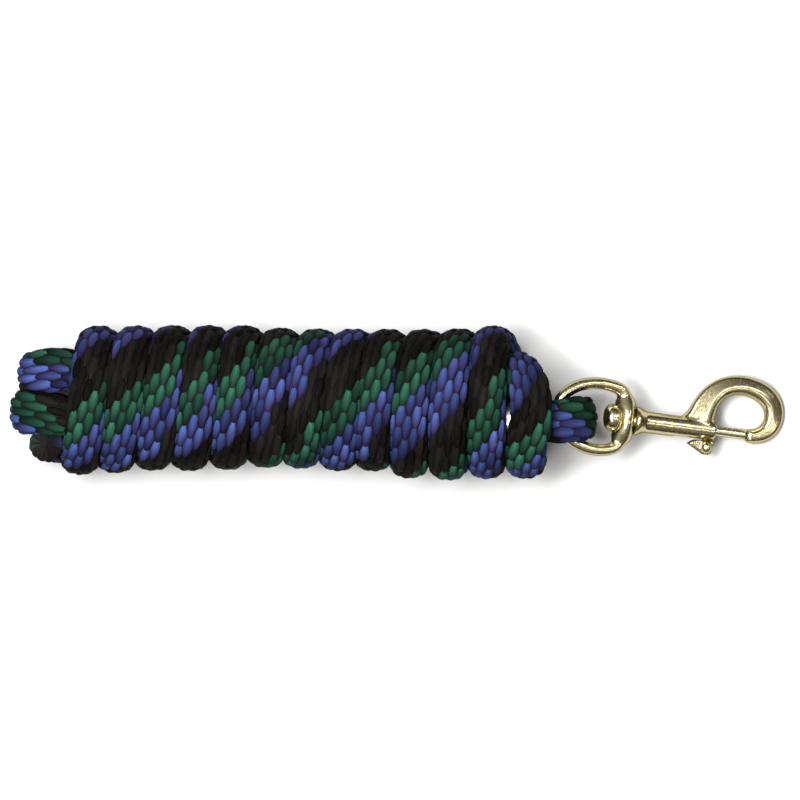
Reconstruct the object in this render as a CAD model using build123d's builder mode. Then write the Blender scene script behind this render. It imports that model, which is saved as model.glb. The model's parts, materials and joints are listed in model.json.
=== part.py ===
from build123d import *
from math import asin, atan2, cos, degrees, pi, radians, sin
import os

# A horse lead rope wound into a hank, with a swivel bolt snap clipped into its eye.
# Row frame: +X runs along the hank towards the snap, +Y across it, +Z up.
# Everything lies on z = 0, and the origin is on that surface, below the middle of the snap.

# ---------------------------------------------------------------- rope
ROPE_D = 16.5
ROPE_R = ROPE_D / 2

# ---------------------------------------------------------------- swivel bolt snap, in its own flat frame
# x runs along the barrel from the middle of the ring's bar, y across the barrel in the hook's plane.
BAR_D = 5.2
RING_A = 20.5
RING_B = 14.9
HUB_INNER_X = 28.8
HUB_OUTER_X = 36.8
HUB_MIDDLE_X = (HUB_INNER_X + HUB_OUTER_X) / 2
RING_CORNER = 70.0
RING_SIDE_X = 32.4
HUB_GAP = 2.0
# The bored side swells from the bar to the hub: y, x of its middle, half its width along x, half its depth.
HUB_STATIONS = [
    (11.6, 31.4, 2.6, 2.2),
    (8.6, 32.7, 3.8, 3.7),
    (0.0, HUB_MIDDLE_X, (HUB_OUTER_X - HUB_INNER_X) / 2, 6.3),
    (-8.6, 32.7, 3.8, 3.7),
    (-11.6, 31.4, 2.6, 2.2),
]
RUNNING_GAP = 0.3

STUD_R = 3.4
STUD_BORE_R = 3.45
HEAD_R = 6.35
HEAD_LENGTH = 5.9
HEAD_ROUND = 2.4
COLLAR_R = 6.35
COLLAR_RIM = 1.2
COLLAR_END_X = 42.0
BARREL_R = 4.75
BARREL_END_X = 75.4

BOLT_R = 2.0
BOLT_BORE_R = 2.05
BORE_START_X = 45.0
BOLT_START_X = 64.0
BOLT_END_X = 90.0
BOLT_TRAVEL = 13.5

STEM_X = 72.0
STEM_LENGTH = 2.8
STEM_WIDTH = 2.6
TENON_R = 0.8
SLOT_WIDTH = 3.0
SLOT_FRONT_X = STEM_X + STEM_LENGTH / 2 + 0.1
SLOT_REAR_X = STEM_X - STEM_LENGTH / 2 - BOLT_TRAVEL - 0.4
PAD_TOP = -5.15
PAD_HALF_WIDTH = 2.8

SPRING_WIRE_D = 0.45
SPRING_R = 1.5
SPRING_TURNS = 7

HOOK_TIP_X = 90.4
# Hook stations from its root on the barrel to its tip:
# inner point, outer point, thickness at the inner edge, thickness at the outer edge.
HOOK_STATIONS = [
    ((74.3, 0.8), (60.0, 1.6), 8.4, 7.6),
    ((74.7, 6.0), (62.8, 9.6), 8.0, 5.6),
    ((75.9, 11.2), (67.3, 17.6), 7.2, 4.2),
    ((79.0, 15.4), (73.8, 23.2), 6.8, 3.6),
    ((84.6, 17.5), (83.2, 26.2), 6.6, 3.4),
    ((90.6, 16.8), (94.0, 25.2), 6.6, 3.4),
    ((95.6, 13.8), (102.8, 20.0), 6.4, 3.6),
    ((97.8, 9.4), (106.7, 11.2), 6.0, 4.0),
    ((96.8, 5.6), (104.8, 2.6), 5.6, 4.4),
    ((94.2, 3.3), (98.6, -2.6), 5.4, 4.8),
    ((HOOK_TIP_X, 2.5), (HOOK_TIP_X, -3.3), 5.2, 4.8),
]
HOOK_FLOOR_X = 103.6
HOOK_FLOOR_HALF = 2.36

# ---------------------------------------------------------------- where the snap lies
BAR_X = -50.13
BAR_Y = 2.03
BAR_Z = 32.0
YAW = -7.2
SLOPE = degrees(asin((BAR_Z - HOOK_FLOOR_HALF) / HOOK_FLOOR_X))

# ---------------------------------------------------------------- the hank
WRAPS = 13
WRAP_PITCH = 16.95
HANK_PEAK_R = 33.0
HANK_VALLEY_R = 29.6
HANK_CORE_R = 22.0
HANK_END_X = BAR_X - 2.0
HANK_CORE_END_X = BAR_X - 4.0
HANK_Y = BAR_Y + 3.9
HANK_Z = HANK_PEAK_R

# The core's folded ends stand out past the first wrap, beside the sealed tail of the rope.
# Each runs from where it leaves the wraps to its outermost end, from the hank's own start and axis.
HANK_START_X = HANK_END_X - WRAPS * WRAP_PITCH
UPPER_BIGHT = ((5.6, 8.6), (-22.6, 15.6))
MIDDLE_BIGHT = ((5.6, -3.9), (-26.4, -4.8))
BIGHT_ROUND = 7.0
TAIL_ROOT = (5.6, -12.4, -6.0)
TAIL_END = (-8.8, -19.0, -4.0)

# ---------------------------------------------------------------- rope eye
LOOP_R = BAR_D / 2 + ROPE_R + 0.55
LOOP_Y = BAR_Y - 1.6

# ---------------------------------------------------------------- rope clamp
CLAMP_X = BAR_X - 22.0
CLAMP_LENGTH = 16.0
CLAMP_WALL = 1.2
CLAMP_Y = BAR_Y - 4.2

os.makedirs("parts", exist_ok=True)


def snap_plane():
    """The snap's flat frame: turned by YAW in plan and sloping down to the surface it lies on."""
    yaw = radians(YAW)
    slope = radians(SLOPE)
    along = Vector(cos(slope) * cos(yaw), cos(slope) * sin(yaw), -sin(slope))
    up = Vector(sin(slope) * cos(yaw), sin(slope) * sin(yaw), cos(slope))
    return Plane(origin=(BAR_X, BAR_Y, BAR_Z), x_dir=along, z_dir=up)


SNAP = snap_plane()
BARREL_AXIS = Axis(SNAP.origin, SNAP.x_dir)


def snap_point(x, y, z=0.0):
    """A point given in the snap's flat frame."""
    return SNAP.from_local_coords(Vector(x, y, z))


def across(x, y=0.0):
    """A plane square to the barrel at x: its own X is the snap's Y, its own Y the snap's Z."""
    return Plane(origin=snap_point(x, y), x_dir=SNAP.y_dir, z_dir=SNAP.x_dir)


def section_across(y, x):
    """A plane square to the snap's Y at y: its own X is the snap's X, its own Y the snap's Z."""
    return Plane(origin=snap_point(x, y), x_dir=SNAP.x_dir, z_dir=-SNAP.y_dir)


def station_plane(inner, outer):
    """The plane of one hook station, its own X running from the inner point to the outer one."""
    start = snap_point(*inner)
    end = snap_point(*outer)
    return Plane(origin=start, x_dir=end - start, z_dir=SNAP.z_dir.cross(end - start))


def write_piece(name, part):
    """Labels a finished piece and writes it."""
    part.label = name
    export_step(part, f"parts/{name}.step")


# ---------------------------------------------------------------- swivel eye
# A cast D ring: a round bar on an oval line, its corners turned into a straight side.
oval_end_x = RING_A + RING_A * cos(radians(RING_CORNER))
oval_end_y = RING_B * sin(radians(RING_CORNER))
corner_turn = 90 - degrees(atan2(RING_B * cos(radians(RING_CORNER)), RING_A * sin(radians(RING_CORNER))))
corner_r = (RING_SIDE_X - oval_end_x) / (1 - cos(radians(corner_turn)))
corner_x = RING_SIDE_X - corner_r
corner_y = oval_end_y - corner_r * sin(radians(corner_turn))

with BuildPart() as swivel_eye:
    with BuildLine(SNAP) as ring_line:
        Line((RING_SIDE_X, HUB_GAP), (RING_SIDE_X, corner_y))
        CenterArc((corner_x, corner_y), corner_r, 0, corner_turn)
        EllipticalCenterArc(
            (RING_A, 0), RING_A, RING_B, start_angle=RING_CORNER, arc_size=360 - 2 * RING_CORNER
        )
        CenterArc((corner_x, -corner_y), corner_r, -corner_turn, corner_turn)
        Line((RING_SIDE_X, -corner_y), (RING_SIDE_X, -HUB_GAP))
    ring_path = ring_line.wires()[0]
    with BuildSketch(Plane(origin=ring_path @ 0, z_dir=ring_path % 0)):
        Circle(BAR_D / 2)
    sweep(path=ring_path)
    for side_y, side_x, half_x, half_z in HUB_STATIONS:
        with BuildSketch(section_across(side_y, side_x)):
            Ellipse(half_x, half_z)
    loft()
    with BuildSketch(across(HUB_INNER_X - 2.0)):
        Circle(STUD_BORE_R)
    extrude(amount=HUB_OUTER_X - HUB_INNER_X + 4.0, mode=Mode.SUBTRACT)
write_piece("swivel_eye", swivel_eye.part)

# ---------------------------------------------------------------- snap body
# Turned stud with its peened head, collar and barrel, in one casting with the hook.
head_end_x = HUB_INNER_X - RUNNING_GAP
head_start_x = head_end_x - HEAD_LENGTH
collar_start_x = HUB_OUTER_X + RUNNING_GAP

with BuildPart() as snap_body:
    with BuildSketch(SNAP):
        with BuildLine():
            Line((head_start_x, 0), (head_start_x, HEAD_R - HEAD_ROUND))
            RadiusArc(
                (head_start_x, HEAD_R - HEAD_ROUND), (head_start_x + HEAD_ROUND, HEAD_R), HEAD_ROUND
            )
            Polyline(
                (head_start_x + HEAD_ROUND, HEAD_R),
                (head_end_x - 0.6, HEAD_R),
                (head_end_x, HEAD_R - 0.6),
                (head_end_x, STUD_R),
                (collar_start_x, STUD_R),
                (collar_start_x, COLLAR_R - 0.3),
                (collar_start_x + 0.3, COLLAR_R),
                (collar_start_x + COLLAR_RIM, COLLAR_R),
                (COLLAR_END_X, BARREL_R),
                (BARREL_END_X - 0.6, BARREL_R),
                (BARREL_END_X, BARREL_R - 0.6),
                (BARREL_END_X, 0),
                (head_start_x, 0),
            )
        make_face()
    revolve(axis=BARREL_AXIS)
    for inner, outer, thick_in, thick_out in HOOK_STATIONS:
        width = (Vector(*outer) - Vector(*inner)).length
        with BuildSketch(station_plane(inner, outer)):
            with Locations((thick_in / 2, 0)):
                Circle(thick_in / 2)
            with Locations((width - thick_out / 2, 0)):
                Circle(thick_out / 2)
            make_hull()
    loft()
    with BuildSketch(across(BORE_START_X)):
        Circle(BOLT_BORE_R)
    extrude(amount=BARREL_END_X - BORE_START_X + 1.0, mode=Mode.SUBTRACT)
    slot_middle = (SLOT_FRONT_X + SLOT_REAR_X) / 2
    slot_length = SLOT_FRONT_X - SLOT_REAR_X
    with BuildSketch(section_across(0.0, slot_middle)):
        Rectangle(slot_length, SLOT_WIDTH)
    extrude(amount=BARREL_R + 2.0, mode=Mode.SUBTRACT)
write_piece("snap_body", snap_body.part)

# ---------------------------------------------------------------- snap bolt
with BuildPart() as snap_bolt:
    with BuildSketch(across(BOLT_START_X)):
        Circle(BOLT_R)
    extrude(amount=BOLT_END_X - BOLT_START_X)
    chamfer(snap_bolt.faces().sort_by(BARREL_AXIS)[0].edges(), 0.3)
    fillet(snap_bolt.faces().sort_by(BARREL_AXIS)[-1].edges(), 0.5)
    with BuildSketch(section_across(0.0, STEM_X)):
        Circle(TENON_R)
    extrude(amount=BOLT_R + 1.0, mode=Mode.SUBTRACT)
write_piece("snap_bolt", snap_bolt.part)

# ---------------------------------------------------------------- thumb stud
# A stem through the slot, ending in a round post with a sharp wing swept back along the barrel.
with BuildPart() as thumb_stud:
    with BuildSketch(section_across(0.0, STEM_X)):
        Circle(TENON_R)
    extrude(amount=BOLT_R + 0.5)
    with BuildSketch(section_across(-BOLT_R - 0.1, STEM_X)):
        Rectangle(STEM_LENGTH, STEM_WIDTH)
    extrude(amount=-PAD_TOP - BOLT_R + 0.6)
    with BuildSketch(SNAP.offset(-PAD_HALF_WIDTH)):
        with BuildLine():
            Polyline((75.2, PAD_TOP), (67.0, PAD_TOP), (63.8, -7.0), (71.0, -10.8))
            ThreePointArc((71.0, -10.8), (73.2, -11.2), (74.6, -9.6))
            Line((74.6, -9.6), (75.2, PAD_TOP))
        make_face()
    extrude(amount=2 * PAD_HALF_WIDTH)
    fillet(thumb_stud.edges().filter_by(Axis(SNAP.origin, SNAP.z_dir)).sort_by(BARREL_AXIS)[-1], 0.5)
write_piece("thumb_stud", thumb_stud.part)

# ---------------------------------------------------------------- bolt spring
# It sits between the blind end of the bore and the bolt.
spring_start = BORE_START_X + SPRING_WIRE_D / 2 + 0.05
spring_height = BOLT_START_X - BORE_START_X - SPRING_WIRE_D - 0.1

with BuildPart() as bolt_spring:
    with BuildLine() as coil:
        Helix(
            pitch=spring_height / SPRING_TURNS,
            height=spring_height,
            radius=SPRING_R,
            center=snap_point(spring_start, 0),
            direction=SNAP.x_dir,
        )
    with BuildSketch(Plane(origin=coil.line @ 0, z_dir=coil.line % 0)):
        Circle(SPRING_WIRE_D / 2)
    sweep(path=coil.line, is_frenet=True)
write_piece("bolt_spring", bolt_spring.part)

# ---------------------------------------------------------------- rope hank
# The outer shape of the wound rope: a row of rounded wraps, with the folded ends of its core.
def hank_point(x, y, z=0.0):
    """A point given from the start of the hank's axis."""
    return Vector(HANK_START_X + x, HANK_Y + y, HANK_Z + z)


def bight(root, end):
    """One folded end of the core: a slab as thick as the rope, round at its end and along its edges."""
    outward = hank_point(*end) - hank_point(*root)
    side = Vector(0, 0, 1).cross(outward)
    middle = Plane(origin=hank_point(*root), x_dir=outward, z_dir=side)
    straight = outward.length - ROPE_D
    with BuildPart() as slab:
        with BuildSketch(middle.offset(-ROPE_R)):
            with Locations((straight / 2, 0)):
                Rectangle(straight, 2 * ROPE_D)
            with Locations((straight, 0)):
                Circle(ROPE_D)
        extrude(amount=ROPE_D)
        fillet(slab.faces().filter_by(Axis(middle.origin, middle.z_dir)).edges(), BIGHT_ROUND)
    return slab.part


upper_bight = bight(*UPPER_BIGHT)
middle_bight = bight(*MIDDLE_BIGHT)
tail_root = hank_point(*TAIL_ROOT)
tail_end = hank_point(*TAIL_END)
tail_plane = Plane(origin=tail_root, z_dir=tail_end - tail_root)

with BuildPart() as rope_hank:
    with BuildSketch(Plane(origin=(0, HANK_Y, HANK_Z), x_dir=(1, 0, 0), z_dir=(0, 0, 1))):
        with BuildLine():
            Line((HANK_START_X, 0), (HANK_START_X, HANK_CORE_R))
            ThreePointArc(
                (HANK_START_X, HANK_CORE_R),
                (HANK_START_X + 0.24 * WRAP_PITCH, HANK_PEAK_R - 2.6),
                (HANK_START_X + 0.5 * WRAP_PITCH, HANK_PEAK_R),
            )
            for wrap in range(WRAPS - 1):
                peak = HANK_START_X + (wrap + 0.5) * WRAP_PITCH
                valley = (peak + WRAP_PITCH / 2, HANK_VALLEY_R)
                depth = HANK_PEAK_R - HANK_VALLEY_R
                ThreePointArc(
                    (peak, HANK_PEAK_R), (peak + 0.28 * WRAP_PITCH, HANK_PEAK_R - 0.3 * depth), valley
                )
                ThreePointArc(
                    valley,
                    (peak + 0.72 * WRAP_PITCH, HANK_PEAK_R - 0.3 * depth),
                    (peak + WRAP_PITCH, HANK_PEAK_R),
                )
            last_peak = HANK_END_X - 0.5 * WRAP_PITCH
            ThreePointArc(
                (last_peak, HANK_PEAK_R),
                (HANK_END_X - 0.16 * WRAP_PITCH, HANK_PEAK_R - 3.4),
                (HANK_END_X, HANK_PEAK_R - ROPE_R),
            )
            Polyline(
                (HANK_END_X, HANK_PEAK_R - ROPE_R),
                (HANK_CORE_END_X, HANK_CORE_R),
                (HANK_CORE_END_X, 0),
                (HANK_START_X, 0),
            )
        make_face()
    revolve(axis=Axis((0, HANK_Y, HANK_Z), (1, 0, 0)))
    add(upper_bight)
    add(middle_bight)
    with BuildSketch(tail_plane):
        Circle(ROPE_R)
    extrude(amount=(tail_end - tail_root).length)
    with Locations(tail_end):
        Sphere(ROPE_R)
write_piece("rope_hank", rope_hank.part)

# ---------------------------------------------------------------- rope eye loop
loop_length = BAR_X - HANK_CORE_END_X
loop_plane = Plane(origin=(BAR_X, LOOP_Y, BAR_Z), x_dir=(1, 0, 0), z_dir=(0, -1, 0))

with BuildPart() as rope_eye_loop:
    with BuildLine(loop_plane) as loop_line:
        Line((-loop_length, LOOP_R), (0, LOOP_R))
        RadiusArc((0, LOOP_R), (LOOP_R, 0), LOOP_R)
        RadiusArc((LOOP_R, 0), (0, -LOOP_R), LOOP_R)
        Line((0, -LOOP_R), (-loop_length, -LOOP_R))
    with BuildSketch(Plane(origin=loop_line.line @ 0, z_dir=loop_line.line % 0)):
        Circle(ROPE_R)
    sweep(path=loop_line.line)
write_piece("rope_eye_loop", rope_eye_loop.part)

# ---------------------------------------------------------------- rope clamp
clamp_start = (CLAMP_X - CLAMP_LENGTH / 2, CLAMP_Y, HANK_Z)
clamp_plane = Plane(origin=clamp_start, x_dir=(0, 0, 1), z_dir=(1, 0, 0))

with BuildPart() as rope_clamp:
    with BuildSketch(clamp_plane):
        SlotOverall(2 * ROPE_D + 2 * CLAMP_WALL, ROPE_D + 2 * CLAMP_WALL)
        SlotOverall(2 * ROPE_D, ROPE_D, mode=Mode.SUBTRACT)
    extrude(amount=CLAMP_LENGTH)
write_piece("rope_clamp", rope_clamp.part)

loop_run = sum(edge.length for edge in loop_line.line.edges())
expected = pi * ROPE_R**2 * loop_run
print(f"eye loop: bend radius {LOOP_R:.2f} mm, volume {rope_eye_loop.part.volume / expected:.4f} of expected")
print(f"snap slope {SLOPE:.2f} degrees")
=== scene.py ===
import json
import math

import bmesh
import bpy
import numpy as np
from mathutils import Matrix, Vector
from mathutils.kdtree import KDTree


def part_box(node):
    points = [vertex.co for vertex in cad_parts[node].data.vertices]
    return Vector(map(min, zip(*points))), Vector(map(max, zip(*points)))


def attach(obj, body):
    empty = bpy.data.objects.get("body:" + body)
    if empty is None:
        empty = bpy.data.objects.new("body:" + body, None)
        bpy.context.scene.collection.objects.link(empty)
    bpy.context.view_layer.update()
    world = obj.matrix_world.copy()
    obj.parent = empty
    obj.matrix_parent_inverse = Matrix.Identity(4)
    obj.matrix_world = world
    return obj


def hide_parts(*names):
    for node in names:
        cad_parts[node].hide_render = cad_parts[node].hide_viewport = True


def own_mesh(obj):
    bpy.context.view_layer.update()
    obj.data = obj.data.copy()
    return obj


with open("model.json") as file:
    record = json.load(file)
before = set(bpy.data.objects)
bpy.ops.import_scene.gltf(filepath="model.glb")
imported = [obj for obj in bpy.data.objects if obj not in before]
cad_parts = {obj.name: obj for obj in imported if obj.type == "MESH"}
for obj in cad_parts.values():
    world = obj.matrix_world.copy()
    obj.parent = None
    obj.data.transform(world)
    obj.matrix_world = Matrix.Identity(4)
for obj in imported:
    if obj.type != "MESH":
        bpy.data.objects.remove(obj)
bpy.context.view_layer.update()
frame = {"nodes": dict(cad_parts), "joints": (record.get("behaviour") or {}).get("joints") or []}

MM = 0.001

# ---------------------------------------------------------------- places taken from the frame
JOINTS = {joint["name"]: joint for joint in frame["joints"]}
BAR = Vector(JOINTS["eye_swing"]["pos_m"])
SNAP_AXIS = Vector(JOINTS["snap_swivel"]["axis"]).normalized()
# The direction in which the snap is thin.
SNAP_FLAT = SNAP_AXIS.cross(Vector(JOINTS["eye_swing"]["axis"])).normalized()
HANK_LOW, HANK_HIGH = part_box("rope_hank")
HANK_AXIS = Vector((0, (HANK_LOW.y + HANK_HIGH.y) / 2, (HANK_LOW.z + HANK_HIGH.z) / 2))


def at(x, y, z):
    """A point given in millimetres: x from the eye's bar, y and z from the hank's axis."""
    return Vector((BAR.x + x * MM, HANK_AXIS.y + y * MM, HANK_AXIS.z + z * MM))


# ---------------------------------------------------------------- camera
VIEW_WIDTH = 0.3636
VIEW_CENTRE = Vector((BAR.x - 0.0711, BAR.y + 0.0049, 0))
VIEW_HEIGHT = 1.0


def make_camera():
    """Looks straight down on the hank, far enough away to have no perspective."""
    data = bpy.data.cameras.new("camera")
    data.type = "ORTHO"
    data.ortho_scale = VIEW_WIDTH
    camera = bpy.data.objects.new("camera", data)
    camera.location = VIEW_CENTRE + Vector((0, 0, VIEW_HEIGHT))
    bpy.context.scene.collection.objects.link(camera)
    bpy.context.scene.camera = camera


make_camera()

# ---------------------------------------------------------------- the rope's route
ROPE_D = 16.5
ROPE_R = ROPE_D / 2
# Degrees between the control points of a half turn, and control points in each turn of the coil.
FOLD_STEP = 30
TURN_POINTS = 16
# The line of the rope is this far above and below the hank's axis where it is on top or underneath.
COIL_R = 24.75
# The turns of the coil are a little squarer than an ellipse, for which this is 2.
COIL_SQUARE = 2.4
# A quadratic spline runs inside its control points by this share at each turn.
FOLD_OUT = 1 / (0.75 + 0.25 * math.cos(math.radians(FOLD_STEP)))
COIL_OUT = 1 / (0.75 + 0.25 * math.cos(2 * math.pi / TURN_POINTS))

# The wraps, from the one next to the snap to the one beside the tail: x where each crosses the far
# side of the hank, x where it crosses the near side, how far its middle reaches on both sides, and
# how much its front bows away from the snap.
WRAPS = [
    (-13.0, -13.8, 25.5, 26.6, 0.9),
    (-29.0, -31.5, 26.6, 26.7, 1.4),
    (-44.5, -48.8, 25.3, 27.3, 2.6),
    (-60.3, -66.6, 25.0, 26.4, 3.2),
    (-76.8, -83.0, 25.1, 23.2, 2.6),
    (-92.5, -99.2, 25.2, 23.1, 1.8),
    (-108.8, -116.0, 25.2, 22.0, 1.4),
    (-125.5, -132.0, 25.6, 21.6, 1.0),
    (-142.2, -149.3, 26.7, 22.6, 0.8),
    (-158.0, -166.8, 26.8, 23.1, 0.8),
    (-174.3, -183.6, 26.8, 22.9, 0.8),
    (-191.0, -200.4, 26.6, 24.0, 0.8),
    (-208.0, -216.6, 26.6, 24.8, 0.8),
]
# The back of each wrap bows the other way.
BACK_BOW = 1.3
# This many of the coil's points at each end give way to the points that lead into it and to the tail.
COIL_CUT = 6

# The core strands lie this far from the hank's axis in y and z. They are folded at three places, and
# before them the rope loops round the eye's bar.
CORE = ROPE_R
NEAR_FOLD = (-233.0, -4.8, 0)
FAR_FOLD = (-229.8, 14.6, 0)
FOLD_R = 8.4
INNER_FOLD = (-60, 0, 0)
INNER_FOLD_R = 11.7
LOOP_R = 11.3
LOOP_SLANT = 0.13


def half_turn(centre, start, over, radius):
    """Control points of a half turn about centre, from the direction start through the direction over."""
    start, over = Vector(start).normalized(), Vector(over).normalized()
    angles = [math.radians(a) for a in range(0, 181, FOLD_STEP)]
    reach = radius * FOLD_OUT * MM
    return [at(*centre) + (start * math.cos(a) + over * math.sin(a)) * reach for a in angles]


def coil_points():
    """Control points of the wraps, one turn each, down the front and up the back of the hank."""
    points = []
    for index, (far_x, near_x, far_y, near_y, bow) in enumerate(WRAPS):
        last = index == len(WRAPS) - 1
        next_far_x = near_x if last else WRAPS[index + 1][0]
        next_far_y = far_y if last else WRAPS[index + 1][2]
        for step in range(TURN_POINTS):
            turn = step / TURN_POINTS
            angle = 2 * math.pi * turn
            across, up = math.cos(angle), math.sin(angle)
            swell = (abs(across) ** COIL_SQUARE + abs(up) ** COIL_SQUARE) ** (-1 / COIL_SQUARE)
            if turn <= 0.5:
                x = far_x + (near_x - far_x) * turn * 2 - bow * up
                far_reach = far_y
            else:
                x = near_x + (next_far_x - near_x) * (turn * 2 - 1) - BACK_BOW * up
                far_reach = next_far_y
            side = near_y if across < 0 else far_reach
            points.append(at(x, across * swell * side * COIL_OUT, up * swell * COIL_R * COIL_OUT))
    return points


def route():
    """All control points of the rope, from its clamped short end to its tail."""
    bar = (BAR - HANK_AXIS) / MM
    slant = Vector((1, LOOP_SLANT, 0))
    coil = coil_points()
    # The short end, the loop round the eye's bar, and the first core strand.
    points = [at(-34, -8.2, -8.2), at(-22, -8.4, -8.6), at(-10, -9.0, -11.0)]
    points += half_turn((0, -8.9, bar.z), (0, 0, -1), slant, LOOP_R)
    points += [at(-10, -9.6, 9.6), at(-24, -8.6, CORE), at(-60, -CORE, CORE)]
    points += [at(-200, -CORE, CORE), at(-221, -6.6, 8.8)]
    # The near fold, the strand back, the inner fold, and the strand to the far fold.
    points += half_turn(NEAR_FOLD, (0, 0, 1), (-1, 0.06, 0), FOLD_R)
    points += [at(-221, -6.6, -8.8), at(-200, -CORE, -CORE), at(-78, -CORE, -CORE)]
    points += half_turn(INNER_FOLD, (0, -1, -1), (1, 0, 0), INNER_FOLD_R)
    points += [at(-78, CORE, CORE), at(-196, CORE, CORE)]
    points += [at(-211, 11.9, 8.8), at(-220.5, 15.1, 8.8)]
    points += half_turn(FAR_FOLD, (0, 0, 1), (-1, -0.24, 0), FOLD_R)
    points += [at(-220.5, 15.1, -8.8), at(-211, 11.9, -8.8)]
    points += [at(-196, CORE, -CORE), at(-50, CORE, -CORE)]
    # Out from the core, over the top, and into the coil.
    points += [at(-34, 9.0, -7.5), at(-25, 13.3, -3.5), at(-17.6, 16.3, 6.5)]
    points += [at(-14.6, 11.4, 17.5), at(-11.3, 3.2, 24.0), at(-11.3, -9.0, 25.7)]
    points += coil[COIL_CUT : len(coil) - COIL_CUT]
    # The tail.
    points += [at(-218.5, -22.5, -9.0), at(-221.5, -20.0, -17.0), at(-228.0, -19.2, -17.5)]
    points += [at(-230.9, -19.2, -10.0), at(-231.5, -19.2, -1.0), at(-231.9, -19.0, 5.0)]
    return points


def spline_through(name, points):
    """A NURBS curve object with those control points."""
    curve = bpy.data.curves.new(name, "CURVE")
    curve.dimensions = "3D"
    curve.resolution_u = 8
    spline = curve.splines.new("NURBS")
    spline.points.add(len(points) - 1)
    for point, place in zip(spline.points, points):
        point.co = (*place, 1.0)
    spline.order_u = 3
    spline.use_endpoint_u = True
    return bpy.data.objects.new(name, curve)


def read_line(curve_object):
    """The points along a curve object's own line."""
    mesh = bpy.data.meshes.new_from_object(curve_object)
    line = np.array([vertex.co for vertex in mesh.vertices], float)
    bpy.data.meshes.remove(mesh)
    return line


ROUTE_CURVE = spline_through("rope_route", route())
ROUTE_LINE = read_line(ROUTE_CURVE)
bpy.data.objects.remove(ROUTE_CURVE)


def normalised(vectors):
    """The same vectors with a length of 1."""
    return vectors / np.maximum(np.linalg.norm(vectors, axis=-1, keepdims=True), 1e-12)


class Line:
    """The rope's centreline with a frame that doesn't twist, read at any distance along it."""

    STEP = 0.75 * MM

    def __init__(self, points):
        steps = np.linalg.norm(np.diff(points, axis=0), axis=1)
        keep = np.concatenate([[True], steps > 1e-9])
        points = points[keep]
        along = np.concatenate([[0], np.cumsum(np.linalg.norm(np.diff(points, axis=0), axis=1))])
        count = int(along[-1] / self.STEP) + 1
        self.s = np.linspace(0, along[-1], count)
        self.length = along[-1]
        self.point = np.stack([np.interp(self.s, along, points[:, k]) for k in range(3)], axis=1)
        self.tangent = normalised(np.gradient(self.point, axis=0))
        normal = np.zeros_like(self.point)
        seed = np.array([0.0, 0.0, 1.0])
        normal[0] = seed - self.tangent[0] * (seed @ self.tangent[0])
        normal[0] /= np.linalg.norm(normal[0])
        for i in range(1, count):
            carried = normal[i - 1] - self.tangent[i] * (normal[i - 1] @ self.tangent[i])
            normal[i] = carried / np.linalg.norm(carried)
        self.normal = normal
        self.side = np.cross(self.tangent, normal)

    def read(self, values, s):
        """Values kept for each step, read at distances s."""
        place = np.clip(s / self.length, 0, 1) * (len(self.s) - 1)
        low = np.minimum(place.astype(int), len(self.s) - 2)
        share = place - low
        if values.ndim > 1:
            share = share[..., None]
        return values[low] * (1 - share) + values[low + 1] * share

    def nearest(self, place, low=0.0, high=None):
        """The distance along the line of the point nearest to a place.

        Only the stretch from low to high is searched, which leaves out strands that pass close by.
        """
        high = self.length if high is None else high
        away = np.linalg.norm(self.point - np.array(place), axis=1)
        away[(self.s < low) | (self.s > high)] = np.inf
        return float(self.s[away.argmin()])


ROPE = Line(ROUTE_LINE)

# ---------------------------------------------------------------- where the rope is squashed
S_FRONTS = []
for far_x, near_x, _, _, bow in WRAPS:
    S_FRONTS.append(ROPE.nearest(at((far_x + near_x) / 2 - bow, 0, COIL_R)))
S_LOOP_TIP = ROPE.nearest(BAR + Vector((LOOP_R * MM, 0, 0)), 0, 0.12)
S_NEAR_FOLD = ROPE.nearest(at(NEAR_FOLD[0] - FOLD_R, NEAR_FOLD[1], 0), 0.1, 0.6)
S_FAR_FOLD = ROPE.nearest(at(FAR_FOLD[0] - FOLD_R, FAR_FOLD[1] + 2, 0), 0.5, 1.1)

# Distances along the rope, in metres. The squash starts before the middle of the first wrap's front, the
# first wrap's own shape and that of all wraps end past the first and the last one's, and the back of a
# wrap is further on. The folds' shape reaches both ways from their tips.
FRONT_LEAD = 0.01
FIRST_END = 0.03
LAST_END = 0.045
TO_BACK = 0.05
FOLD_HALF = 0.012
# Each shape fades out over this.
WRAP_SOFT = 0.02
FOLD_SOFT = 0.022

# How a squashed section differs from a round one: its thickness, its width, and its squareness, which
# is 2 for an ellipse. The first two wraps have their own shape on top of the one of all wraps.
WRAP_SHAPE = (1.0, 1.12, 2.35)
FIRST_SHAPE = (1.0, 1.06, 2.0)
SECOND_SHAPE = (1.0, 0.98, 1.9)
LOOP_SHAPE = (0.93, 1.27, 2.8)
FOLD_SHAPE = (0.90, 1.27, 2.4)


def eased(share):
    """0 up to a share of 0 and 1 from a share of 1, with a smooth rise between them."""
    share = np.clip(share, 0, 1)
    return share * share * (3 - 2 * share)


def window(s, low, high, soft):
    """1 between low and high, falling smoothly to 0 over soft on both sides."""
    return eased((s - low) / soft + 1) * eased((high - s) / soft + 1)


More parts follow.
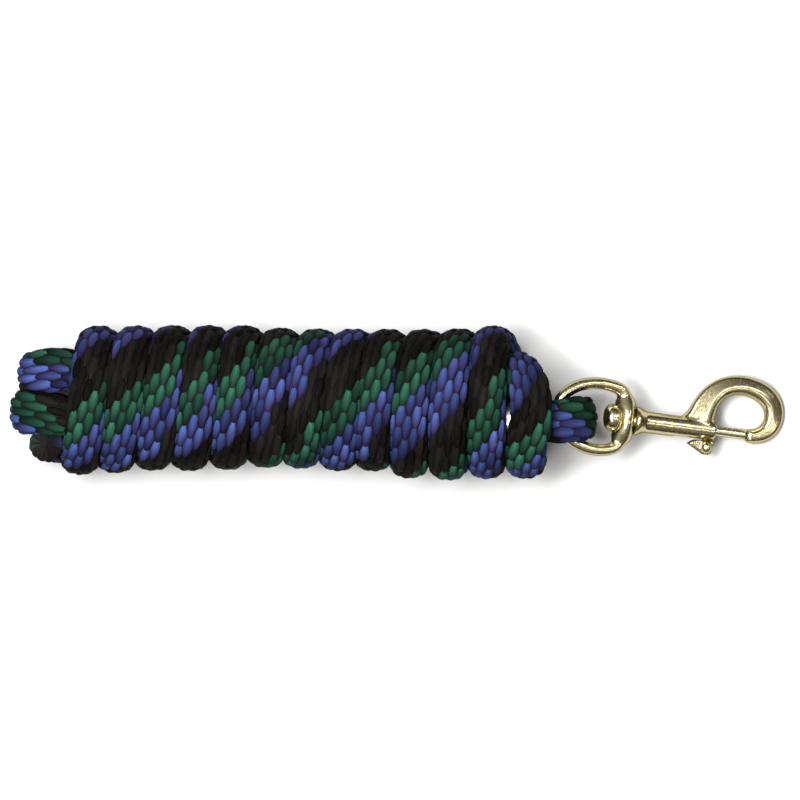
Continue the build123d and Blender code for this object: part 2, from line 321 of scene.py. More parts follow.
def squash_zones():
    """For each step of the rope: the direction it is pressed in, its thickness, width and squareness."""
    s = ROPE.s
    press = np.zeros_like(ROPE.point)
    thick = np.ones(len(s))
    wide = np.ones(len(s))
    square = np.full(len(s), 2.0)
    first, second, last = S_FRONTS[0], S_FRONTS[1], S_FRONTS[-1]
    from_axis = ROPE.point - np.array(HANK_AXIS)
    from_axis[:, 0] = 0
    zones = [
        (window(s, first - FRONT_LEAD, last + LAST_END, WRAP_SOFT), from_axis, WRAP_SHAPE),
        (window(s, first + TO_BACK, second + TO_BACK, WRAP_SOFT), from_axis, SECOND_SHAPE),
        (window(s, first - FRONT_LEAD, first + FIRST_END, WRAP_SOFT), from_axis, FIRST_SHAPE),
    ]
    for tip, centre, shape in (
        (S_LOOP_TIP, BAR, LOOP_SHAPE),
        (S_NEAR_FOLD, at(*NEAR_FOLD), FOLD_SHAPE),
        (S_FAR_FOLD, at(*FAR_FOLD), FOLD_SHAPE),
    ):
        outward = ROPE.point - np.array(centre)
        outward[:, 1] = 0
        zones.append((window(s, tip - FOLD_HALF, tip + FOLD_HALF, FOLD_SOFT), outward, shape))
    for weight, outward, (zone_thick, zone_wide, zone_square) in zones:
        press += weight[:, None] * normalised(outward)
        thick *= 1 + weight * (zone_thick - 1)
        wide *= 1 + weight * (zone_wide - 1)
        square += weight * (zone_square - 2)
    press -= ROPE.tangent * (press * ROPE.tangent).sum(1)[:, None]
    weak = np.linalg.norm(press, axis=1) < 1e-3
    press[weak] = ROPE.normal[weak]
    return normalised(press), thick, wide, square


PRESS, THICK, WIDE, SQUARE = squash_zones()
# The rope's two ends narrow by this share over this length.
END_NARROW = 0.35
END_ROUND = 3.0 * MM


def surface(s, angle, radius):
    """Points of the rope at distances s, directions angle, and a radius taken before it is squashed."""
    centre = ROPE.read(ROPE.point, s)
    tangent = normalised(ROPE.read(ROPE.tangent, s))
    normal = normalised(ROPE.read(ROPE.normal, s))
    side = np.cross(tangent, normal)
    out = normal * np.cos(angle)[..., None] + side * np.sin(angle)[..., None]
    press = normalised(ROPE.read(PRESS, s))
    across = np.cross(tangent, press)
    square = ROPE.read(SQUARE, s)
    thick_share = np.abs((out * press).sum(-1)) / ROPE.read(THICK, s)
    wide_share = np.abs((out * across).sum(-1)) / ROPE.read(WIDE, s)
    swell = (thick_share**square + wide_share**square) ** (-1 / square)
    to_end = np.minimum(s, ROPE.length - s)
    dome = 1 - END_NARROW * np.clip(1 - to_end / END_ROUND, 0, 1) ** 2
    return centre + out * (radius * swell * dome)[..., None]


# ---------------------------------------------------------------- colours of the braid
PERIOD = 60.0 * MM
# The wrap next to the snap is stretched less.
FIRST_PERIOD = 47.0 * MM
BLUE_SHARE = 0.34
BLACK_SHARE = 0.39
# How far past the middle of its front each wrap's blue band starts, in millimetres along the rope.
BLUE_STARTS = [25, 13, -16, 0, -3.5, 12.5, 34, -14, -2, 2, -0.5, 12, 16]
# The same for the eye loop and the two folds: past a place on the loop, the near fold's tip, and a place
# before the far fold.
LOOP_MARK = (4, -8, 10)
LOOP_START = -3
NEAR_START = -1
FAR_MARK = (-221, 13, 8)
FAR_START = 2.5
# At the tail's sealed end the blue yarns start in this direction.
TAIL_BLUE = (-0.28, 0.96, 0)

# Each yarn's colour where a stitch starts, made lighter there as a painted highlight, and where it ends,
# made darker there as painted shade.
YARN_COLOURS_WITH_PAINTED_LIGHT = {
    "blue": ((0.0300, 0.051, 0.158), (0.0125, 0.0070, 0.026)),
    "black": ((0.0054, 0.0050, 0.0044), (0.0050, 0.0046, 0.0041)),
    "green": ((0.0125, 0.060, 0.036), (0.0050, 0.0085, 0.0070)),
}


def frame_angle(s, outward):
    """The direction outward, as an angle in the rope's own frame at distance s, in turns."""
    place = np.array([s])
    normal = ROPE.read(ROPE.normal, place)[0]
    side = ROPE.read(ROPE.side, place)[0]
    outward = np.array(outward)
    return math.atan2(outward @ side, outward @ normal) / (2 * math.pi)


def colour_clock():
    """Distances along the rope, and how many colour bands have passed there in the rope's own frame."""
    up = (0, 0, 1)
    starts = [
        (ROPE.nearest(at(*LOOP_MARK), 0.03, 0.12) + LOOP_START * MM, up),
        (S_NEAR_FOLD + NEAR_START * MM, up),
        (ROPE.nearest(at(*FAR_MARK), 0.6, S_FAR_FOLD) + FAR_START * MM, up),
    ]
    for front, start in zip(S_FRONTS, BLUE_STARTS):
        starts.append((front + start * MM, up))
    starts.append((ROPE.length, TAIL_BLUE))
    fronts = slice(len(starts) - len(S_FRONTS) - 1, len(starts) - 1)
    bands = [frame_angle(*starts[0])]
    for (before, _), (s, outward) in zip(starts, starts[1:]):
        turned = frame_angle(s, outward)
        wanted = bands[-1] + (s - before) / PERIOD
        bands.append(turned + round(wanted - turned))
    marks = np.array([s for s, _ in starts])
    bands = np.array(bands, float)
    # The visible side of each wrap has the true period: any difference is taken up at its back.
    back = np.full(len(S_FRONTS), PERIOD)
    back[0] = FIRST_PERIOD
    marks = np.concatenate([marks, marks[fronts] - back])
    bands = np.concatenate([bands, bands[fronts] - 1])
    order = np.argsort(marks)
    return marks[order], bands[order]


MARKS, BANDS = colour_clock()


def band_at(s, angle):
    """Where in the colour sequence the rope is: the whole part counts blue bands, and it winds round."""
    first = BANDS[0] + (s - MARKS[0]) / PERIOD
    last = BANDS[-1] + (s - MARKS[-1]) / PERIOD
    between = np.interp(s, MARKS, BANDS)
    along = np.where(s < MARKS[0], first, np.where(s > MARKS[-1], last, between))
    return along - angle / (2 * math.pi)


def yarn_colour(band, end):
    """The colour at a place in the colour sequence, from a stitch's start (0), lightened as a painted
    highlight, to its end (1), darkened as painted shade.
    """
    blue, black, green = (
        np.array(start) * (1 - end[..., None]) + np.array(stop) * end[..., None]
        for start, stop in YARN_COLOURS_WITH_PAINTED_LIGHT.values()
    )
    place = (band % 1.0)[..., None]
    black_or_green = np.where(place < BLUE_SHARE + BLACK_SHARE, black, green)
    return np.where(place < BLUE_SHARE, blue, black_or_green)


# ---------------------------------------------------------------- the rope's mesh
# The stitches lie in columns round the rope, each like a leaf that overlaps the next in its column.
COLUMNS = 12
TWIST = math.radians(1.15) / MM
STITCH = 8.6 * MM
STITCH_REACH = 5.5 * MM
STITCH_HALF = 2.55 * MM
STITCH_RISE = 1.25 * MM
STITCH_TILT = 0.22 * MM
LEAF_ACROSS = np.array([-1.0, -0.62, 0.0, 0.62, 1.0])
LEAF_ALONG = np.array([-0.84, -0.45, 0.0, 0.45, 0.84])
# How much stitches differ in place, length, width and shade.
PLACE_SPREAD = 0.05
REACH_SPREAD = 0.05
WIDTH_SPREAD = 0.06
SHADE_LOW, SHADE_HIGH = 0.45, 1.40
# Each stitch is this much darker at its long sides, as painted shade where it dips under its neighbours.
RIM_SHADE = 0.55
# Each stitch has its own part of the fibre pattern, this far from the one before it.
FIBRE_STEP_ACROSS = 1.7
FIBRE_STEP_ALONG = 0.37
SEED = 7

# The plain tube under the stitches, which only shows between them and is coloured darker than its yarns
# there as painted shade.
BED_R = 7.0 * MM
BED_RISE = 0.25 * MM
BED_SIDES = 20
BED_STEP = 5.0 * MM
BED_SHADE = 0.3
BED_DARK = 0.0030

# The sealed ends. Their rings are at these shares of the radius, from the rim to the middle.
CAP_SIDES = 64
CAP_RIDGES = 16
CAP_RINGS = (1.0, 0.93, 0.8, 0.62, 0.42, 0.22, 0.08)
CAP_R = 11.6 * MM
CAP_RISE = 2.4 * MM
CAP_RIDGE = 0.28 * MM
# The melted yarn's own dark colour, then the paler colour of its streaks, which is painted highlight.
CAP_DARK = np.array([0.0040, 0.0034, 0.0028])
CAP_PAINTED_HIGHLIGHT = np.array([0.0120, 0.0110, 0.0095])
# How much of the yarns' colour shows at the rim, taken at this share of the way from a stitch's
# painted-highlight start to its painted-shade end.
CAP_RIM_TINT = 0.55
CAP_STITCH_END = 0.35


def new_piece(name, mesh):
    """An object with that mesh, put in the scene."""
    piece = bpy.data.objects.new(name, mesh)
    bpy.context.scene.collection.objects.link(piece)
    return piece


def ring_faces(rings, sides):
    """The faces of a tube made of rings with that many sides."""
    faces = []
    for ring in range(rings - 1):
        for side in range(sides):
            a = ring * sides + side
            b = ring * sides + (side + 1) % sides
            faces.append((a, b, b + sides, a + sides))
    return faces


def leaf():
    """One stitch: each point's place along and across it, from -1 to 1, and its faces."""
    along = np.concatenate([[-1.0], np.repeat(LEAF_ALONG, len(LEAF_ACROSS)), [1.0]])
    across = np.concatenate([[0.0], np.tile(LEAF_ACROSS, len(LEAF_ALONG)), [0.0]])
    wide = len(LEAF_ACROSS)
    faces = []
    for j in range(wide - 1):
        faces.append((0, 1 + j + 1, 1 + j))
        for i in range(len(LEAF_ALONG) - 1):
            a = 1 + i * wide + j
            faces.append((a, a + 1, a + 1 + wide, a + wide))
        top = 1 + (len(LEAF_ALONG) - 1) * wide + j
        faces.append((top, top + 1, len(along) - 1))
    return along, across, faces


def stitch_mesh(random):
    """All stitches of the braid: their points, one stitch's faces, their colours and fibre places."""
    along, across, faces = leaf()
    rows = int(ROPE.length / STITCH) + 1
    column, row = np.meshgrid(np.arange(COLUMNS), np.arange(rows))
    column, row = column.ravel(), row.ravel()
    nudge = random.uniform(-PLACE_SPREAD, PLACE_SPREAD, len(row))
    middle = (row + 0.5 * (column % 2) + nudge) * STITCH
    keep = middle < ROPE.length + 0.3 * STITCH
    column, middle = column[keep], middle[keep]
    count = len(middle)
    reach = STITCH_REACH * random.uniform(1 - REACH_SPREAD, 1 + REACH_SPREAD, count)
    half = STITCH_HALF * random.uniform(1 - WIDTH_SPREAD, 1 + WIDTH_SPREAD, count)
    base_angle = 2 * math.pi * column / COLUMNS
    s = middle[:, None] + along[None] * reach[:, None]
    # The leaf is pointed and low at both ends, and full in its middle.
    width = (1 - np.abs(along) ** 2.0) ** 0.75
    offset = across[None] * width[None] * half[:, None]
    angle = base_angle[:, None] + TWIST * s + offset / (ROPE_R * MM)
    dome = np.sqrt(np.maximum(1 - across**2, 0)) * (1 - np.abs(along) ** 2.6) ** 0.7
    radius = BED_R + STITCH_RISE * dome[None] + STITCH_TILT * along[None]
    points = surface(s, angle, radius)
    # A stitch has one place in the colour sequence, and goes from its yarn's colour with a painted
    # highlight at its start to that yarn's colour with painted shade at its end.
    band = band_at(middle, base_angle + TWIST * middle)[:, None]
    end = np.broadcast_to(np.clip((along[None] + 0.75) / 1.5, 0, 1) ** 0.8, s.shape)
    shade = random.uniform(SHADE_LOW, SHADE_HIGH, (count, 1, 1))
    # Painted shade: each stitch's random tone is darkened along its long sides.
    shade = shade * (1 - RIM_SHADE * across**2)[None, :, None]
    colour = yarn_colour(np.broadcast_to(band, s.shape), end) * shade
    number = np.arange(count)[:, None]
    fibre_across = np.broadcast_to(across[None] * width[None], s.shape) * 0.5
    fibre_along = np.broadcast_to(along[None], s.shape) * 0.5
    fibre = np.stack(
        [fibre_across + number * FIBRE_STEP_ACROSS, fibre_along + number * FIBRE_STEP_ALONG],
        axis=-1,
    )
    return points, faces, colour, fibre


def bed_mesh():
    """The plain tube under the stitches, in its yarns' colours darkened as painted shade."""
    rings = int(ROPE.length / BED_STEP) + 1
    s = np.linspace(0, ROPE.length, rings)
    angle = np.arange(BED_SIDES) * 2 * math.pi / BED_SIDES
    s_grid, angle_grid = np.meshgrid(s, angle, indexing="ij")
    points = surface(s_grid, angle_grid, np.full(s_grid.shape, BED_R + BED_RISE))
    # Painted shade: the yarns' end colours, darkened by BED_SHADE, plus BED_DARK.
    colour = yarn_colour(band_at(s_grid, angle_grid), np.ones(s_grid.shape)) * BED_SHADE + BED_DARK
    return points.reshape(-1, 3), ring_faces(rings, BED_SIDES), colour.reshape(-1, 3)


def end_cap(s_end, outward):
    """The heat-sealed end of the rope: a low dome, where the melted yarns' ridges run to its middle."""
    angle = np.arange(CAP_SIDES) * 2 * math.pi / CAP_SIDES
    points = []
    for share in CAP_RINGS:
        ridge = CAP_RIDGE * math.sin(math.pi * min(share * 1.1, 1)) * np.cos(angle * CAP_RIDGES)
        s = np.full(CAP_SIDES, s_end)
        ring = surface(s, angle, np.full(CAP_SIDES, share * CAP_R))
        lift = CAP_RISE * (1 - share**2.4) + ridge
        points.append(ring + lift[:, None] * outward)
    first = (len(CAP_RINGS) - 1) * CAP_SIDES
    faces = ring_faces(len(CAP_RINGS), CAP_SIDES)
    faces.append(tuple(range(first, first + CAP_SIDES)))
    return np.concatenate(points), faces, cap_colour(s_end, angle)


def cap_colour(s_end, angle):
    """Dark melted yarn with paler streaks, stronger on one side, painted as highlights on the melted
    ridges, and some of the yarns' own colour left at the rim.
    """
    around = np.tile(angle, len(CAP_RINGS))
    streak = 0.5 + 0.5 * np.cos(around * CAP_RIDGES + 1.5 * np.cos(around * 3))
    streak *= 0.55 + 0.45 * np.cos(around + 0.8 * np.cos(around * 2))
    to_rim = np.repeat(CAP_RINGS, CAP_SIDES) ** 2.5
    rim = (to_rim * CAP_RIM_TINT * (0.4 + 0.6 * streak))[:, None]
    # Painted highlight: pale streaks over the dark melted yarn.
    melted = CAP_DARK * (1 - streak[:, None]) + CAP_PAINTED_HIGHLIGHT * streak[:, None]
    band = band_at(np.full(len(around), s_end), around)
    dyed = yarn_colour(band, np.full(len(around), CAP_STITCH_END))
    return melted * (1 - rim) + dyed * rim


def make_rope():
    """The whole rope as one mesh, with the colour and the fibre direction of each stitch."""
    random = np.random.default_rng(SEED)
    points, leaf_faces, leaf_colour, fibre = stitch_mesh(random)
    count, per_leaf = points.shape[:2]
    all_points = points.reshape(-1, 3)
    faces = [tuple(k * per_leaf + i for i in face) for k in range(count) for face in leaf_faces]
    stitch_points = count * per_leaf
    plain_colour = []
    for more_points, more_faces, more_colour in (
        bed_mesh(),
        end_cap(0.0, -ROPE.tangent[0]),
        end_cap(ROPE.length, ROPE.tangent[-1]),
    ):
        faces += [tuple(len(all_points) + i for i in face) for face in more_faces]
        all_points = np.concatenate([all_points, more_points])
        plain_colour.append(more_colour)
    mesh = bpy.data.meshes.new("rope")
    mesh.from_pydata(all_points.tolist(), [], faces)
    mesh.update()
    colours = np.ones((len(all_points), 4), np.float32)
    colours[:stitch_points, :3] = leaf_colour.reshape(-1, 3)
    colours[stitch_points:, :3] = np.concatenate(plain_colour)
    attribute = mesh.color_attributes.new("yarn", "FLOAT_COLOR", "POINT")
    attribute.data.foreach_set("color", colours.ravel())
    uv = np.zeros((len(all_points), 2), np.float32)
    uv[:stitch_points] = fibre.reshape(-1, 2)
    corner = np.zeros(len(mesh.loops), np.int32)
    mesh.loops.foreach_get("vertex_index", corner)
    layer = mesh.uv_layers.new(name="fibres")
    layer.data.foreach_set("uv", uv[corner].ravel())
    mesh.polygons.foreach_set("use_smooth", np.ones(len(mesh.polygons), bool))
    return new_piece("rope", mesh)


# ---------------------------------------------------------------- materials
def new_material(name):
    """An empty node material, its shader, and a function that adds nodes to it."""
    material = bpy.data.materials.new(name)
    material.use_nodes = True
    tree = material.node_tree
    shader = tree.nodes["Principled BSDF"]

    def node(kind, **settings):
        """A node with its links, values and options, where _ stands for the space in a socket's name."""
        made = tree.nodes.new(kind)
        for key, value in settings.items():
            socket = key.replace("_", " ")
            if isinstance(value, bpy.types.NodeSocket):
                tree.links.new(value, made.inputs[socket])
            elif socket in made.inputs:
                made.inputs[socket].default_value = value
            else:
                setattr(made, key, value)
        return made

    return material, tree, shader, node


def rope_material():
    """Soft filament yarn: fine fibres along each stitch, and the colour painted on each stitch, which holds
    painted highlights and painted shade.
    """
    material, tree, shader, node = new_material("rope_yarn")
    yarn = node("ShaderNodeVertexColor", layer_name="yarn")
    uv = node("ShaderNodeUVMap", uv_map="fibres")
    stretch = node("ShaderNodeMapping", Vector=uv.outputs["UV"], Scale=(26.0, 2.2, 1.0))
    fibres = node("ShaderNodeTexNoise", Vector=stretch.outputs["Vector"], Scale=1.0, Detail=3.0)
    fibre = fibres.outputs["Fac"]
    shade = node("ShaderNodeMapRange", Value=fibre, From_Min=0.3, From_Max=0.7, To_Min=0.60, To_Max=1.30)
    tint = node(
        "ShaderNodeVectorMath",
        operation="SCALE",
        Vector=yarn.outputs["Color"],
        Scale=shade.outputs["Result"],
    )
    bump = node("ShaderNodeBump", Height=fibre, Strength=0.35, Distance=0.0003)
    tree.links.new(tint.outputs["Vector"], shader.inputs["Base Color"])
    tree.links.new(bump.outputs["Normal"], shader.inputs["Normal"])
    shader.inputs["Roughness"].default_value = 0.50
    shader.inputs["IOR"].default_value = 1.04
    return material


def metal_material(name, colour, edge, roughness, cast=0.10):
    """A polished metal with fine pits and the slight waviness of a casting.

    Edge is its tint where it is seen at a slant.
    """
    material, tree, shader, node = new_material(name)
    place = node("ShaderNodeTexCoord").outputs["Object"]
    waves = node("ShaderNodeTexNoise", Vector=place, Scale=160.0, Detail=2.0).outputs["Fac"]
    pits = node("ShaderNodeTexNoise", Vector=place, Scale=1400.0, Detail=4.0).outputs["Fac"]
    tone = node("ShaderNodeMapRange", Value=waves, To_Min=0.90, To_Max=1.06)
    tint = node("ShaderNodeVectorMath", operation="SCALE", Vector=colour, Scale=tone.outputs["Result"])
    rough = node(
        "ShaderNodeMapRange",
        Value=pits,
        From_Min=0.35,
        From_Max=0.75,
        To_Min=roughness,
        To_Max=roughness + 0.14,
    )
    fine = node("ShaderNodeBump", Height=pits, Strength=0.06, Distance=0.0002)
    broad = node(
        "ShaderNodeBump",
        Height=waves,
        Normal=fine.outputs["Normal"],
        Strength=cast,
        Distance=0.001,
    )
    tree.links.new(tint.outputs["Vector"], shader.inputs["Base Color"])
    tree.links.new(rough.outputs["Result"], shader.inputs["Roughness"])
    tree.links.new(broad.outputs["Normal"], shader.inputs["Normal"])
    shader.inputs["Metallic"].default_value = 1.0
    shader.inputs["Specular Tint"].default_value = (*edge, 1.0)
    return material


def floor_material():
    """Plain pale paper."""
    material, tree, shader, node = new_material("floor_paper")
    place = node("ShaderNodeTexCoord")
    mottle = node("ShaderNodeTexNoise", Vector=place.outputs["Object"], Scale=9.0)
    tone = node("ShaderNodeMapRange", Value=mottle.outputs["Fac"], To_Min=0.385, To_Max=0.395)
    tree.links.new(tone.outputs["Result"], shader.inputs["Base Color"])
    shader.inputs["Roughness"].default_value = 0.9
    return material


def paint(piece, material):
    """Gives a piece that material only."""
    piece.data.materials.clear()
    piece.data.materials.append(material)


BRASS_EDGE = (0.06, 0.04, 0.02)
STEEL_EDGE = (0.6, 0.6, 0.6)
SNAP_METAL = metal_material("snap_metal", (0.50, 0.44, 0.262), BRASS_EDGE, 0.17)
BOLT_METAL = metal_material("bolt_metal", (0.62, 0.56, 0.38), BRASS_EDGE, 0.20, cast=0.03)
CLAMP_STEEL = metal_material("clamp_steel", (0.60, 0.59, 0.54), STEEL_EDGE, 0.30)
SPRING_STEEL = metal_material("spring_steel", (0.55, 0.56, 0.58), STEEL_EDGE, 0.25)

# ---------------------------------------------------------------- the rope and its clamp
rope = make_rope()
paint(rope, rope_material())
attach(rope, "rope")
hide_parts("rope_hank", "rope_eye_loop")
paint(frame["nodes"]["rope_clamp"], CLAMP_STEEL)

# ---------------------------------------------------------------- castings
VOXEL = 0.28 * MM


def read_points(mesh):
    """A mesh's points, one row each."""
    points = np.zeros(len(mesh.vertices) * 3)
    mesh.vertices.foreach_get("co", points)
    return points.reshape(-1, 3)


def beside_axis(points):
    """How far along the snap's axis points are from the eye's bar, and the axis's point beside each."""
    start = np.array(BAR)
    axis = np.array(SNAP_AXIS)
    along = (points - start) @ axis
    return along, start + along[:, None] * axis


def mould(name, node_name, warp, balls):
    """A copy of a CAD node's mesh with its points moved by warp, and rounded lumps added."""
    mesh = frame["nodes"][node_name].data.copy()
    mesh.name = name
    if warp:
        mesh.vertices.foreach_set("co", warp(read_points(mesh)).ravel())
    build = bmesh.new()
    build.from_mesh(mesh)
    for centre, radii in balls:
        place = Matrix.Translation(centre) @ Matrix.Diagonal((*radii, 1))
        bmesh.ops.create_icosphere(build, subdivisions=4, radius=1, matrix=place)
    build.to_mesh(mesh)
    build.free()
    return mesh


def cast(name, body, node_name, warp=None, balls=(), soften=18, swell=0.12, finishing=None):
    """A piece as it comes from the mould and the polishing wheel, every edge rounded over.

    Polishing a mesh shrinks it by about swell millimetres, which is put back.
    """
    piece = new_piece(name, mould(name, node_name, warp, balls))
    remesh = piece.modifiers.new("mould", "REMESH")
    remesh.mode = "VOXEL"
    remesh.voxel_size = VOXEL
    polish = piece.modifiers.new("polish", "SMOOTH")
    polish.factor = 0.5
    polish.iterations = soften
    graph = bpy.context.evaluated_depsgraph_get()
    made = bpy.data.meshes.new_from_object(piece.evaluated_get(graph))
    piece.modifiers.clear()
    piece.data = made
    normals = np.zeros(len(made.vertices) * 3)
    made.vertex_normals.foreach_get("vector", normals)
    normals = normals.reshape(-1, 3)
    points = read_points(made) + normals * swell * MM
    if finishing:
        points = finishing(points, normals)
    made.vertices.foreach_set("co", points.ravel())
    made.polygons.foreach_set("use_smooth", np.ones(len(made.polygons), bool))
    made.update()
    paint(piece, SNAP_METAL)
    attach(piece, body)
    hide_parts(node_name)


# ---------------------------------------------------------------- the swivel eye
# The hub is in the middle of one side of the eye's ring, this far from the bar.
HUB_AWAY = 33.0 * MM
# Beside the hub the ring is thicker by this share. It starts, is full and ends at these distances
# from the hub in y, and at these places in x, in millimetres.
HUB_THICKER = 0.5
HUB_ACROSS = (2.0, 7.0, 16.0)
HUB_X = (-30, -18, -5)
# The ring's near half is wider by this share, and its far half leans towards the rope by this much.
RING_SPREAD = 0.03
RING_LEAN = 0.7 * MM


def bump_weight(values, low, middle, high):
    """0 at low and high, 1 at middle, smooth between them."""
    return eased(np.minimum((values - low) / (middle - low), (high - values) / (high - middle)))


def thicken_hub_side(points):
    """The side of the eye's ring that carries the hub is as thick as the hub, and the ring leans a bit."""
    middle = BAR + SNAP_AXIS * HUB_AWAY
    across = np.abs(points[:, 1] - middle.y) / MM
    weight = bump_weight(across, *HUB_ACROSS) * bump_weight(points[:, 0] / MM, *HUB_X)
    weight[points[:, 0] > middle.x] = 0
    moved = points.copy()
    moved[:, 0] = middle.x + (points[:, 0] - middle.x) * (1 + HUB_THICKER * weight)
    to_hub = np.clip((points[:, 0] - BAR.x) / (middle.x - BAR.x), 0, 1)
    spread = np.sin(math.pi * to_hub)
    low = points[:, 1] < middle.y
    moved[low, 1] = middle.y + (points[low, 1] - middle.y) * (1 + RING_SPREAD * spread[low])
    moved[~low, 0] -= RING_LEAN * spread[~low]
    return moved


cast("cast_eye", "swivel_eye", "swivel_eye", warp=thicken_hub_side)

# ---------------------------------------------------------------- the snap's body
# The riveted head inside the ring: the x where it starts and how long it is. Its section loses this
# share towards its end, and it keeps this share of its length.
BUTTON_FOOT = -21.5 * MM
BUTTON_LENGTH = 8.5 * MM
BUTTON_LOST = 0.42
BUTTON_KEPT = 0.90
# The fillet between the barrel and the hook's back: its corner and how far it reaches.
ROOT_X = BAR.x + 59.7 * MM
ROOT_Y = BAR.y - 3.6 * MM
ROOT_FILLET = 3.2 * MM
# In millimetres: where it starts before the corner, how wide it is, how it leans with the hook's back,
# and how fast it dies out above the corner.
ROOT_BEFORE = -4
ROOT_WIDE = 9.0
ROOT_SLOPE = 0.5
ROOT_FADE = 1.6
# From this x on, the hook is stretched by this share.
HOOK_FROM = 28.0 * MM
HOOK_LONGER = 0.022

# The hook's rounding sets in between these distances along the snap's axis, and, so that the barrel and
# the bolt's seat keep their shape, between these distances beside the axis or further along it.
HOOK_STARTS = (55 * MM, 60 * MM)
BARREL_CLEAR = (5.0 * MM, 8.0 * MM)
GATE_CLEAR = (84 * MM, 88 * MM)
# The radius of its rims grows between these two places along the axis, from the first to the second.
HOOK_ROOT_AT = 62 * MM
HOOK_END_AT = 96 * MM
ROUND_ROOT = 1.0 * MM
ROUND_END = 2.4 * MM
# The rounding runs in over this many radii, and takes the rim down by up to this share of the hook's
# half thickness.
ROUND_SPREAD = 1.3
ROUND_MOST = 0.85
HOOK_HALF = 2.5 * MM
# A point is on a rim where the surface faces this little out of the hook's flat side.
RIM_FACING = 0.35

# The barrel's bore, along the snap's axis.
BORE_START = 45.5 * MM
BORE_END = 76.5 * MM
BORE_R = 2.42 * MM


def lower_button(points):
    """The riveted head inside the ring is low and rounded."""
    _, centre = beside_axis(points)
    share = np.clip((BUTTON_FOOT - points[:, 0]) / BUTTON_LENGTH, 0, 1)
    moved = centre + (points - centre) * np.sqrt(1 - BUTTON_LOST * share**2)[:, None]
    inside = points[:, 0] < BUTTON_FOOT
    moved[inside, 0] = BUTTON_FOOT + (moved[inside, 0] - BUTTON_FOOT) * BUTTON_KEPT
    return moved


def root_fillet(points):
    """How far the corner between the barrel and the hook's back is filled out, against x."""
    root = (points[:, 0] - ROOT_X) / MM
    above = np.maximum(points[:, 1] - ROOT_Y, 0) / MM
    left = np.clip(1 - (root - ROOT_SLOPE * above) / ROOT_WIDE, 0, 1)
    left = left * (root > ROOT_BEFORE) * (points[:, 1] > ROOT_Y)
    return ROOT_FILLET * left * np.exp(-above / ROOT_FADE)


def shape_snap(points):
    """The CAD casting with its softer head and root, and the hook a little longer."""
    moved = lower_button(points)
    moved[:, 0] -= root_fillet(points)
    moved[:, 0] += HOOK_LONGER * np.clip(points[:, 0] - HOOK_FROM, 0, 1)
    return moved


def rise(values, limits):
    """0 below both limits, 1 above both, and a smooth rise between them."""
    low, high = limits
    return eased((values - low) / (high - low))


def round_hook(points, normals):
    """The hook's flat sides fall away to its rims, more and more towards its end, which is nearly round."""
    flat = np.array(SNAP_FLAT)
    along, centre = beside_axis(points)
    height = (points - np.array(BAR)) @ flat
    lateral = np.linalg.norm(points - centre - height[:, None] * flat, axis=1)
    weight = np.maximum(rise(lateral, BARREL_CLEAR), rise(along, GATE_CLEAR))
    weight = weight * rise(along, HOOK_STARTS)
    rims = np.flatnonzero((np.abs(normals @ flat) < RIM_FACING) & (weight > 0))
    tree = KDTree(len(rims))
    for index, vertex in enumerate(rims):
        tree.insert(points[vertex], index)
    tree.balance()
    share = np.clip((along - HOOK_ROOT_AT) / (HOOK_END_AT - HOOK_ROOT_AT), 0, 1)
    reach = ROUND_ROOT + (ROUND_END - ROUND_ROOT) * share
    depth = weight * np.minimum(reach / HOOK_HALF, ROUND_MOST)
    moved = points.copy()
    for vertex in np.flatnonzero(weight > 0):
        to_rim = tree.find(points[vertex])[2]
        away = max(0.0, 1 - to_rim / (reach[vertex] * ROUND_SPREAD))
        moved[vertex] -= flat * height[vertex] * depth[vertex] * (1 - math.sqrt(1 - away * away))
    return moved


def ream(points):
    """The barrel's bore is cut true again, so that the bolt slides in it freely."""
    along, centre = beside_axis(points)
    away = points - centre
    reach = np.linalg.norm(away, axis=1)
    inside = (along > BORE_START) & (along < BORE_END) & (reach < BORE_R)
    moved = points.copy()
    moved[inside] = centre[inside] + away[inside] * (BORE_R / reach[inside])[:, None]
    return moved


def finish_snap(points, normals):
    """What is done to the snap's casting after it is polished."""
    return ream(round_hook(points, normals))


cast("cast_snap", "snap", "snap_body", warp=shape_snap, soften=36, swell=0.19, finishing=finish_snap)

# ---------------------------------------------------------------- the thumb piece, bolt and spring
# The ball on top of the thumb piece, from the corner of its box.
STUD_LOW, STUD_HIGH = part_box("thumb_stud")
STUD_IN = 3.4 * MM
STUD_DOWN = 1.6 * MM
STUD_BALL = Vector((STUD_HIGH.x - STUD_IN, STUD_LOW.y + STUD_IN, STUD_HIGH.z - STUD_DOWN))
STUD_BALL_R = (2.5 * MM, 2.7 * MM, 2.4 * MM)
# The bolt's rod is thicker than the CAD bolt by this factor.
ROD_FULLER = 1.13


def make_rod():
    """The bolt's rod: a plain bar, a little fuller than the CAD bolt."""
    mesh = frame["nodes"]["snap_bolt"].data.copy()
    points = read_points(mesh)
    _, centre = beside_axis(points)
    mesh.vertices.foreach_set("co", (centre + (points - centre) * ROD_FULLER).ravel())
    rod = new_piece("bolt_rod", mesh)
    paint(rod, BOLT_METAL)
    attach(rod, "bolt")
    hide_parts("snap_bolt")


def make_spring():
    """The spring behind the bolt, which on the real snap shortens as the bolt is drawn back; here it keeps
    the CAD node's shape.
    """
    spring = new_piece("coil_spring", frame["nodes"]["bolt_spring"].data.copy())
    paint(spring, SPRING_STEEL)
    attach(spring, "snap")
    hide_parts("bolt_spring")
    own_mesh(spring)


cast("thumb_piece", "bolt", "thumb_stud", balls=[(STUD_BALL, STUD_BALL_R)], soften=8)
make_rod()
make_spring()

# ---------------------------------------------------------------- floor and light
FLOOR_HALF = 3.0
AIM_HEIGHT = 0.03
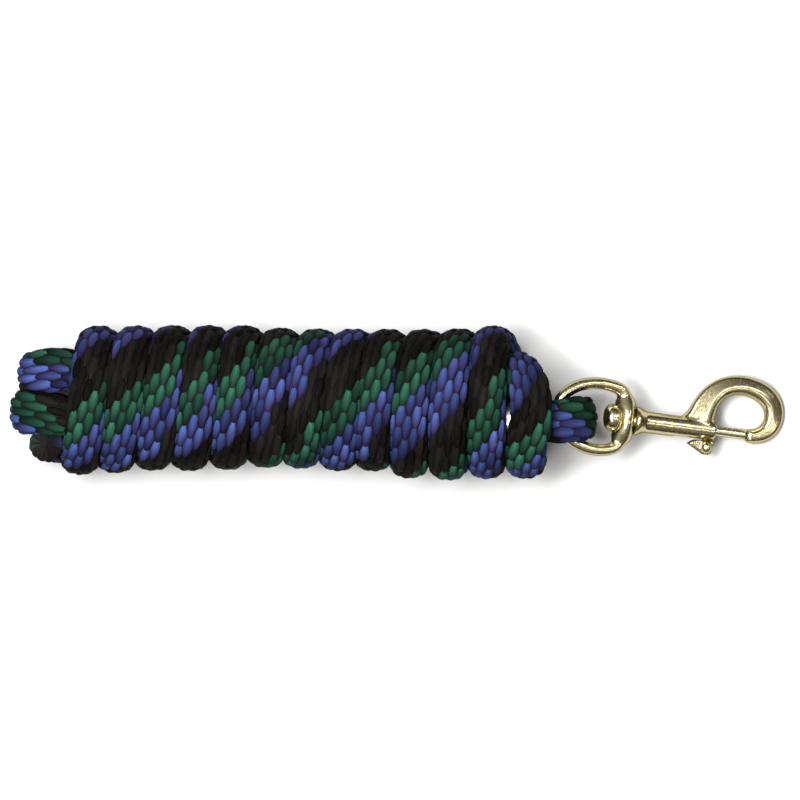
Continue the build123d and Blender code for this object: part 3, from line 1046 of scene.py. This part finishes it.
# Each light's place, size and power.
LIGHTS = {
    "key": ((-0.48, 0.28, 1.6), (0.9, 0.5), 60),
    "low_key": ((-0.46, -0.26, 1.6), (0.9, 0.3), 38),
    "strip": ((0.95, 0.45, 1.4), (0.07, 1.3), 7),
    "low_strip": ((0.95, -0.30, 1.4), (0.04, 1.3), 3),
}
# The studio's colours at the walls and overhead, and where in its height each ends and starts.
WALL_COLOUR = (0.06, 0.045, 0.03, 1)
WALL_TOP = 0.25
OVERHEAD_COLOUR = (0.70, 0.69, 0.64, 1)
OVERHEAD_START = 0.97
STUDIO_STRENGTH = 0.65


def make_floor():
    """A large sheet of pale paper."""
    corners = [(-1, -1), (1, -1), (1, 1), (-1, 1)]
    mesh = bpy.data.meshes.new("floor")
    mesh.from_pydata([(x * FLOOR_HALF, y * FLOOR_HALF, 0) for x, y in corners], [], [(0, 1, 2, 3)])
    floor = new_piece("floor", mesh)
    paint(floor, floor_material())


def make_world():
    """A studio that is bright overhead and dark towards the walls."""
    world = bpy.data.worlds.new("studio")
    world.use_nodes = True
    tree = world.node_tree
    place = tree.nodes.new("ShaderNodeTexCoord")
    split = tree.nodes.new("ShaderNodeSeparateXYZ")
    ramp = tree.nodes.new("ShaderNodeValToRGB")
    tree.links.new(place.outputs["Generated"], split.inputs["Vector"])
    tree.links.new(split.outputs["Z"], ramp.inputs["Fac"])
    walls, overhead = ramp.color_ramp.elements
    walls.position = WALL_TOP
    walls.color = WALL_COLOUR
    overhead.position = OVERHEAD_START
    overhead.color = OVERHEAD_COLOUR
    background = tree.nodes["Background"]
    tree.links.new(ramp.outputs["Color"], background.inputs["Color"])
    background.inputs["Strength"].default_value = STUDIO_STRENGTH
    bpy.context.scene.world = world


def make_light(name, place, size, power):
    """A soft rectangular lamp that faces the object."""
    data = bpy.data.lights.new(name, "AREA")
    data.shape = "RECTANGLE"
    data.size, data.size_y = size
    data.energy = power
    light = bpy.data.objects.new(name, data)
    light.location = place
    aim = Vector((VIEW_CENTRE.x, VIEW_CENTRE.y, AIM_HEIGHT)) - Vector(place)
    light.rotation_euler = aim.to_track_quat("-Z", "Y").to_euler()
    bpy.context.scene.collection.objects.link(light)


make_floor()
make_world()
for light_name, settings in LIGHTS.items():
    make_light(light_name, *settings)
bpy.context.scene.view_settings.view_transform = "Standard"
